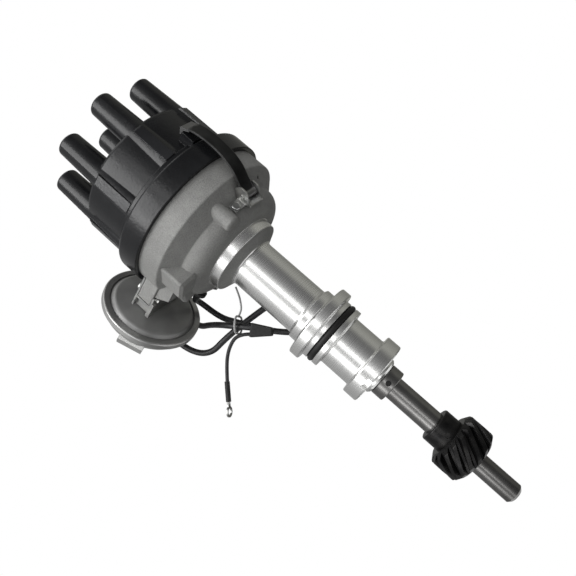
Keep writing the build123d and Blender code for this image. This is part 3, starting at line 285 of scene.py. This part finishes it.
# Earth lead
# Thin black wire with the same sheath. It comes out of the boot, bends down, and ends in a heat sleeve
# and a ring terminal.
earth_diameter = 0.0023
earth_points = (
    (-0.0317, 0.0195, 0.0305),
    (-0.0380, 0.0195, 0.0390),
    (-0.0495, 0.0213, 0.0376),
    (-0.0605, 0.0233, 0.0299),
    (-0.0744, 0.0260, 0.0160),
)
earth_lead = lay_wire("earth_lead_line", "earth_lead_wire", earth_points, earth_diameter, 5, material)
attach(earth_lead, "base")
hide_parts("earth_lead")


# Boot, heat sleeve, grommet, seal ring and diaphragm
# Black rubber: nearly matt, with a fine pitted skin and slightly paler patches. The boot joins the two
# cords, the grommet is pressed into the bowl's wall, and the ring lies in its groove under the flange.
def put_on(material, *names):
    """The material on each of the named pieces, in place of what they had."""
    for name in names:
        nodes[name].data.materials.clear()
        nodes[name].data.materials.append(material)


material, tree, surface, place = start_finish("black_rubber")
surface.inputs["Specular IOR Level"].default_value = 0.4
grain = noise_on(tree, place, 900.0, 3.0)
patches = noise_on(tree, place, 60.0, 4.0)
tone = tone_by(tree, patches, (0.008, 0.008, 0.008, 1.0), (0.022, 0.022, 0.022, 1.0), 0.4, 0.8)
tree.links.new(tone, surface.inputs["Base Color"])
tree.links.new(spread(tree, patches.outputs["Fac"], 0.42, 0.62), surface.inputs["Roughness"])
tree.links.new(raised(tree, grain, 0.3, 0.0002), surface.inputs["Normal"])
put_on(material, "lead_boot", "heat_sleeve", "lead_grommet", "o_ring", "diaphragm")

# Cable tie
# Grey plastic-coated wire, bent into a loop round the crossing leads, with one loose tail.
# It is a little shiny, with faint scuffs.
material, tree, surface, place = start_finish("tie_wire")
surface.inputs["Roughness"].default_value = 0.4
scuffs = noise_on(tree, place, 400.0)
tone = tone_by(tree, scuffs, (0.38, 0.38, 0.38, 1.0), (0.52, 0.52, 0.52, 1.0))
tree.links.new(tone, surface.inputs["Base Color"])
put_on(material, "cable_tie")


# Distributor cap, rotor arm and pickup module
# Black moulded phenolic with a soft sheen, a fine orange-peel skin and slightly paler worn edges.
# The cap stands on the housing's rim, where the two spring clips hold it down.
def soft_edges(tree, radius):
    """The normal of a skin whose edges are rounded by this radius."""
    rounding = tree.nodes.new("ShaderNodeBevel")
    rounding.samples = 4
    rounding.inputs["Radius"].default_value = radius
    return rounding.outputs["Normal"]


def paler_edges(tree, colour, pale_colour, share, start, end):
    """The colour, faded towards the pale one on the outer edges."""
    edge = tree.nodes.new("ShaderNodeNewGeometry")
    wear = spread(tree, edge.outputs["Pointiness"], 0.0, share, start, end)
    return faded_to(tree, wear, colour, pale_colour)


material, tree, surface, place = start_finish("moulded_cap")
surface.inputs["Specular IOR Level"].default_value = 0.34
skin = noise_on(tree, place, 700.0, 2.0)
haze = noise_on(tree, place, 45.0, 6.0)
haze.inputs["Roughness"].default_value = 0.65
tone = tone_by(tree, haze, (0.007, 0.0073, 0.0083, 1.0), (0.014, 0.0144, 0.016, 1.0), 0.3, 0.75)
pale_edged = paler_edges(tree, tone, (0.055, 0.057, 0.062, 1.0), 0.5, 0.52, 0.62)
tree.links.new(pale_edged, surface.inputs["Base Color"])
tree.links.new(spread(tree, haze.outputs["Fac"], 0.17, 0.30, 0.3, 0.7), surface.inputs["Roughness"])
relief = raised(tree, skin, 0.22, 0.0004, soft_edges(tree, 0.0006))
tree.links.new(relief, surface.inputs["Normal"])
put_on(material, "distributor_cap", "rotor_arm", "pickup_module")


# Housing
# One aluminium casting. The bowl and the flare keep their pitted, mottled cast skin. The neck ring, tube,
# flange and pilots are turned bright, with fine lines round the axis.
def turning_lines(tree, surface, place, over=None):
    """Fine cut lines round the axis, as noise on a place that stays the same all the way round."""
    around = tree.nodes.new("ShaderNodeTangent")
    around.direction_type = "RADIAL"
    around.axis = "Z"
    tree.links.new(around.outputs[0], surface.inputs["Tangent"])
    lines = noise_on(tree, place, 7000.0, 3.0)
    tree.links.new(raised(tree, lines, 0.05, 0.0001, over), surface.inputs["Normal"])
    return lines.outputs["Fac"]


tube_end = 0.0578
flare_start = 0.0581
neck_ring_middle = 0.0649
neck_ring_half = 0.0031
neck_ring_reach = 0.0252
material, tree, cast, place = start_finish("cast_and_turned_aluminium")
cast.inputs["Metallic"].default_value = 0.12
cast.inputs["Specular IOR Level"].default_value = 0.3
cast.inputs["Roughness"].default_value = 0.62
pits = noise_on(tree, place, 1700.0, 4.0)
mottle = noise_on(tree, place, 70.0, 7.0)
mottle.inputs["Roughness"].default_value = 0.7
tone = tone_by(tree, mottle, (0.25, 0.25, 0.243, 1.0), (0.38, 0.38, 0.369, 1.0), 0.25, 0.8)
grainy = tree.nodes.new("ShaderNodeVectorMath")
grainy.operation = "SCALE"
tree.links.new(tone, grainy.inputs[0])
tree.links.new(spread(tree, pits.outputs["Fac"], 0.84, 1.14, 0.35, 0.65), grainy.inputs["Scale"])
tree.links.new(grainy.outputs[0], cast.inputs["Base Color"])
rounded = soft_edges(tree, 0.0005)
tree.links.new(raised(tree, pits, 0.5, 0.0005, rounded), cast.inputs["Normal"])
turned = tree.nodes.new("ShaderNodeBsdfPrincipled")
turned.inputs["Metallic"].default_value = 1.0
turned.inputs["Base Color"].default_value = (0.80, 0.80, 0.79, 1.0)
turned.inputs["Anisotropic"].default_value = 0.45
parts = tree.nodes.new("ShaderNodeSeparateXYZ")
tree.links.new(place, parts.inputs[0])
flat = tree.nodes.new("ShaderNodeCombineXYZ")
tree.links.new(parts.outputs["X"], flat.inputs["X"])
tree.links.new(parts.outputs["Y"], flat.inputs["Y"])
radius = tree.nodes.new("ShaderNodeVectorMath")
radius.operation = "LENGTH"
tree.links.new(flat.outputs[0], radius.inputs[0])
lathe = tree.nodes.new("ShaderNodeCombineXYZ")
tree.links.new(radius.outputs["Value"], lathe.inputs["X"])
tree.links.new(parts.outputs["Z"], lathe.inputs["Y"])
lines = turning_lines(tree, turned, lathe.outputs[0], over=rounded)
tree.links.new(spread(tree, lines, 0.17, 0.31, 0.3, 0.7), turned.inputs["Roughness"])
ring = tree.nodes.new("ShaderNodeMath")
ring.operation = "COMPARE"
ring.inputs[1].default_value = neck_ring_middle
ring.inputs[2].default_value = neck_ring_half
tree.links.new(parts.outputs["Z"], ring.inputs[0])
slim = tree.nodes.new("ShaderNodeMath")
slim.operation = "LESS_THAN"
slim.inputs[1].default_value = neck_ring_reach
tree.links.new(radius.outputs["Value"], slim.inputs[0])
neck = tree.nodes.new("ShaderNodeMath")
neck.operation = "MULTIPLY"
tree.links.new(ring.outputs[0], neck.inputs[0])
tree.links.new(slim.outputs[0], neck.inputs[1])
rough_cast = tree.nodes.new("ShaderNodeMath")
rough_cast.operation = "SUBTRACT"
rough_cast.use_clamp = True
tree.links.new(spread(tree, parts.outputs["Z"], 0.0, 1.0, tube_end, flare_start), rough_cast.inputs[0])
tree.links.new(neck.outputs[0], rough_cast.inputs[1])
both = tree.nodes.new("ShaderNodeMixShader")
tree.links.new(rough_cast.outputs[0], both.inputs[0])
tree.links.new(turned.outputs[0], both.inputs[1])
tree.links.new(cast.outputs[0], both.inputs[2])
tree.links.new(both.outputs[0], tree.nodes["Material Output"].inputs["Surface"])
put_on(material, "housing")

# Shaft, thrust collar, weight posts, timing sleeve and trigger wheel
# Ground steel, darker than the housing, with fine rings round the axis and faint cloudy stains.
# The shaft runs in the housing's two bushes, and the collar is pinned to it.
material, tree, surface, place = start_finish("ground_steel")
surface.inputs["Metallic"].default_value = 1.0
surface.inputs["Anisotropic"].default_value = 0.4
parts = tree.nodes.new("ShaderNodeSeparateXYZ")
tree.links.new(place, parts.inputs[0])
rings = tree.nodes.new("ShaderNodeCombineXYZ")
tree.links.new(parts.outputs["Z"], rings.inputs["Z"])
lines = turning_lines(tree, surface, rings.outputs[0])
stain = noise_on(tree, place, 90.0, 5.0)
tone = tone_by(tree, stain, (0.17, 0.167, 0.163, 1.0), (0.26, 0.257, 0.252, 1.0), 0.3, 0.7)
tree.links.new(tone, surface.inputs["Base Color"])
tree.links.new(spread(tree, lines, 0.18, 0.34), surface.inputs["Roughness"])
put_on(material, "drive_shaft", "thrust_collar", "weight_posts", "timing_sleeve", "trigger_wheel")

# Drive gear, cross pins and pole piece
# Blackened hardened steel: dark, with an oily sheen in patches.
# The gear's hub sits on the shaft, and one pin goes through both.
material, tree, surface, place = start_finish("blackened_steel")
surface.inputs["Metallic"].default_value = 0.85
spots = noise_on(tree, place, 260.0, 5.0)
tone = tone_by(tree, spots, (0.014, 0.014, 0.015, 1.0), (0.036, 0.035, 0.034, 1.0), 0.3, 0.75)
tree.links.new(tone, surface.inputs["Base Color"])
tree.links.new(spread(tree, spots.outputs["Fac"], 0.26, 0.5), surface.inputs["Roughness"])
put_on(material, "drive_gear", "gear_pin", "thrust_collar_pin", "pole_piece")

# Spring clips, retaining rings and coil springs
# Dark oiled spring steel. Its outer edges are painted paler, partly as rubbed wear and partly as a
# painted edge highlight. Each clip is a flat strap with a rolled eye on its pin, and its lip hooks over a
# block on the cap.
material, tree, surface, place = start_finish("dark_spring_steel")
surface.inputs["Metallic"].default_value = 0.9
smear = noise_on(tree, place, 120.0, 6.0)
tone = tone_by(tree, smear, (0.018, 0.0185, 0.020, 1.0), (0.050, 0.051, 0.053, 1.0), 0.3, 0.8)
# Paler outer edges: partly rubbed wear, partly a painted highlight along the edges.
pale_edged = paler_edges(tree, tone, (0.3, 0.3, 0.3, 1.0), 0.8, 0.53, 0.65)
tree.links.new(pale_edged, surface.inputs["Base Color"])
tree.links.new(spread(tree, smear.outputs["Fac"], 0.28, 0.46), surface.inputs["Roughness"])
put_on(material, "spring_clip_a", "spring_clip_b", "sleeve_retainer", "plate_snap_ring", "link_clip")
put_on(material, "advance_springs", "brush_spring", "diaphragm_spring")

# Clip anchors, pins, rivets, canister bracket, screws and the plates inside
# Zinc-plated sheet and fasteners: bright grey with cloudy, faintly blue and yellow patches.
# The anchors are riveted to the bowl, and two screws hold the bracket on the housing's lugs.
material, tree, surface, place = start_finish("zinc_plate")
surface.inputs["Metallic"].default_value = 1.0
clouds = noise_on(tree, place, 150.0, 5.0)
tone = tone_by(tree, clouds, (0.38, 0.385, 0.385, 1.0), (0.54, 0.54, 0.52, 1.0), 0.3, 0.7)
tree.links.new(tone, surface.inputs["Base Color"])
tree.links.new(spread(tree, clouds.outputs["Fac"], 0.22, 0.42), surface.inputs["Roughness"])
tree.links.new(soft_edges(tree, 0.0002), surface.inputs["Normal"])
put_on(material, "clip_anchors", "clip_pins", "anchor_rivets", "canister_bracket", "bracket_screws")
put_on(material, "ring_terminal", "fixed_plate", "plate_screws", "pickup_plate", "diaphragm_plates")
put_on(material, "vacuum_link", "advance_base_plate", "advance_weight_a", "advance_weight_b")

# Vacuum canister
# Pressed steel in a silver-grey coat. The domed shell is darker than the cover, whose rim is rolled
# over it, and the hose duct sits on the cover.
for title, low, high, metallic, smoothest, names in (
    (
        "coated_dome", (0.27, 0.27, 0.266, 1.0), (0.36, 0.36, 0.355, 1.0), 0.4, 0.34,
        ("canister_shell",),
    ),
    (
        "coated_rim", (0.40, 0.40, 0.393, 1.0), (0.52, 0.52, 0.51, 1.0), 0.7, 0.24,
        ("canister_cover", "hose_duct"),
    ),
):
    material, tree, surface, place = start_finish(title)
    surface.inputs["Metallic"].default_value = metallic
    coat = noise_on(tree, place, 80.0, 6.0)
    flakes = noise_on(tree, place, 1500.0)
    tree.links.new(tone_by(tree, coat, low, high, 0.3, 0.75), surface.inputs["Base Color"])
    gloss = spread(tree, coat.outputs["Fac"], smoothest, smoothest + 0.14)
    tree.links.new(gloss, surface.inputs["Roughness"])
    tree.links.new(raised(tree, flakes, 0.08, 0.0002), surface.inputs["Normal"])
    put_on(material, *names)

# Bushes, contacts and brush
# Sintered bronze bushes in the housing, brass contacts and module screws, and a dull carbon brush
# in the middle of the cap.
for title, low, high, smoothest, metallic, names in (
    (
        "sintered_bronze", (0.20, 0.13, 0.06, 1.0), (0.30, 0.20, 0.10, 1.0), 0.45, 0.9,
        ("lower_bush", "upper_bush"),
    ),
    (
        "contact_brass", (0.52, 0.38, 0.16, 1.0), (0.66, 0.50, 0.25, 1.0), 0.25, 1.0,
        ("cap_terminals", "centre_terminal", "rotor_blade", "module_screws"),
    ),
    (
        "brush_carbon", (0.012, 0.012, 0.012, 1.0), (0.03, 0.03, 0.03, 1.0), 0.6, 0.0,
        ("carbon_brush",),
    ),
):
    material, tree, surface, place = start_finish(title)
    surface.inputs["Metallic"].default_value = metallic
    grain = noise_on(tree, place, 500.0, 5.0)
    tree.links.new(tone_by(tree, grain, low, high, 0.3, 0.7), surface.inputs["Base Color"])
    gloss = spread(tree, grain.outputs["Fac"], smoothest, smoothest + 0.2)
    tree.links.new(gloss, surface.inputs["Roughness"])
    put_on(material, *names)
